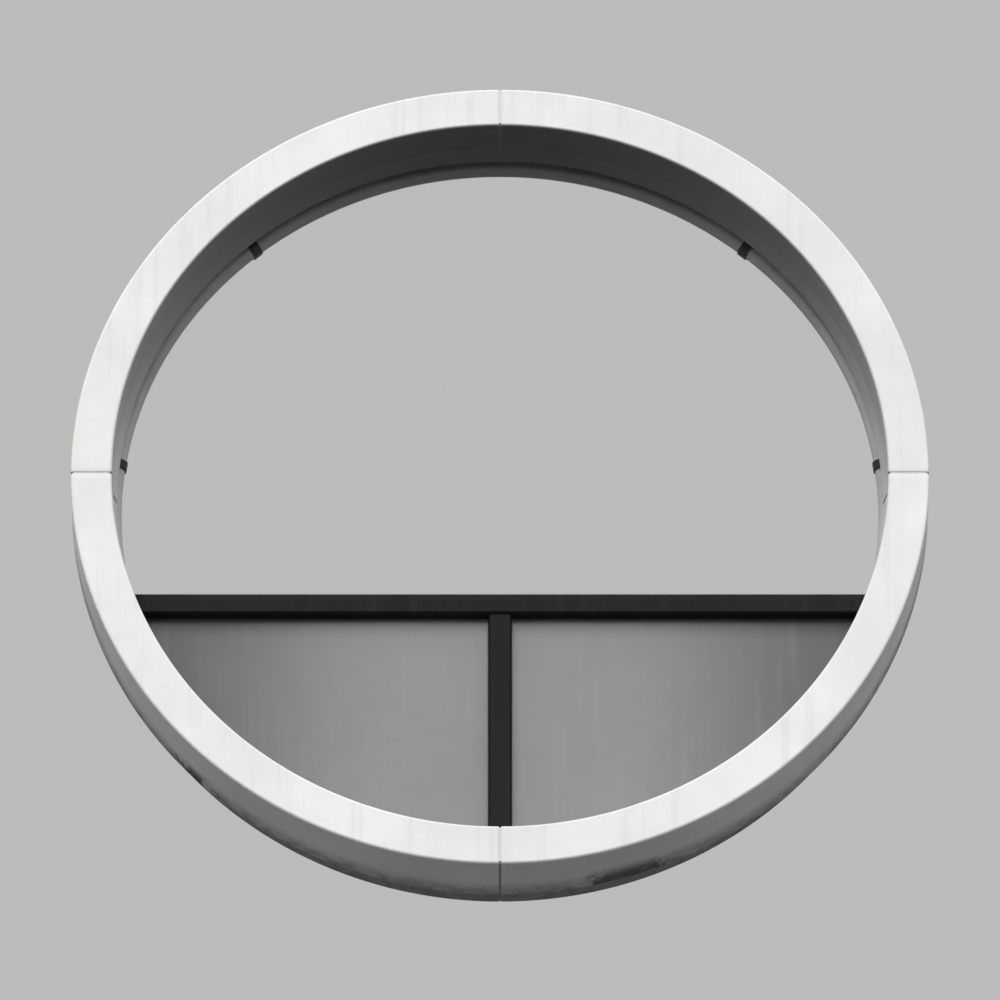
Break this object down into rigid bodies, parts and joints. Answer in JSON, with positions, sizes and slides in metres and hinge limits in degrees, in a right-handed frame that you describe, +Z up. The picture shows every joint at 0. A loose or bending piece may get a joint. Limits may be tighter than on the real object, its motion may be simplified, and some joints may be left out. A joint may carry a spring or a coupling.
{
  "type": "round window",
  "caption": "Round balcony window: pale precast ring surround, strapped tube round the open upper rim, and a frosted glass guard with dark rails across the lower part.",
  "frame": {"origin": "centre of the round opening, on the plane of the wall's outer face", "axes": "+X to the right seen from outside, +Y into the building along the axis of the wall opening, +Z up"},
  "size_m": [2.5, 0.37, 2.5],
  "materials": {
    "precast": "painted precast concrete, weathered",
    "sealant": "matt",
    "dark_rail": "dark satin coating",
    "frosted_glass": "frosted",
    "black_rubber": "matt",
    "light_tube": "pale satin paint",
    "dark_strap": "dark matt paint",
    "fixings": "dull",
    "packer_plastic": "matt"
  },
  "bodies": {
    "root": {"surround_upper_right": "precast", "surround_lower_right": "precast", "surround_lower_left": "precast", "surround_upper_left": "precast", "joint_seal_top": "sealant", "joint_seal_right": "sealant", "joint_seal_bottom": "sealant", "joint_seal_left": "sealant", "transom_rail": "dark_rail", "sill_rail": "dark_rail", "mullion": "dark_rail", "pane_left": "frosted_glass", "pane_right": "frosted_glass", "pane_gasket_left": "black_rubber", "pane_gasket_right": "black_rubber", "end_plate_left": "dark_rail", "end_plate_right": "dark_rail", "end_plate_bolts": "fixings", "rim_tube": "light_tube", "tube_foot_left": "light_tube", "tube_foot_right": "light_tube", "tube_straps": "dark_strap", "strap_pads": "black_rubber", "strap_bolts": "fixings", "sill_packers": "packer_plastic"}
  },
  "joints": []
}
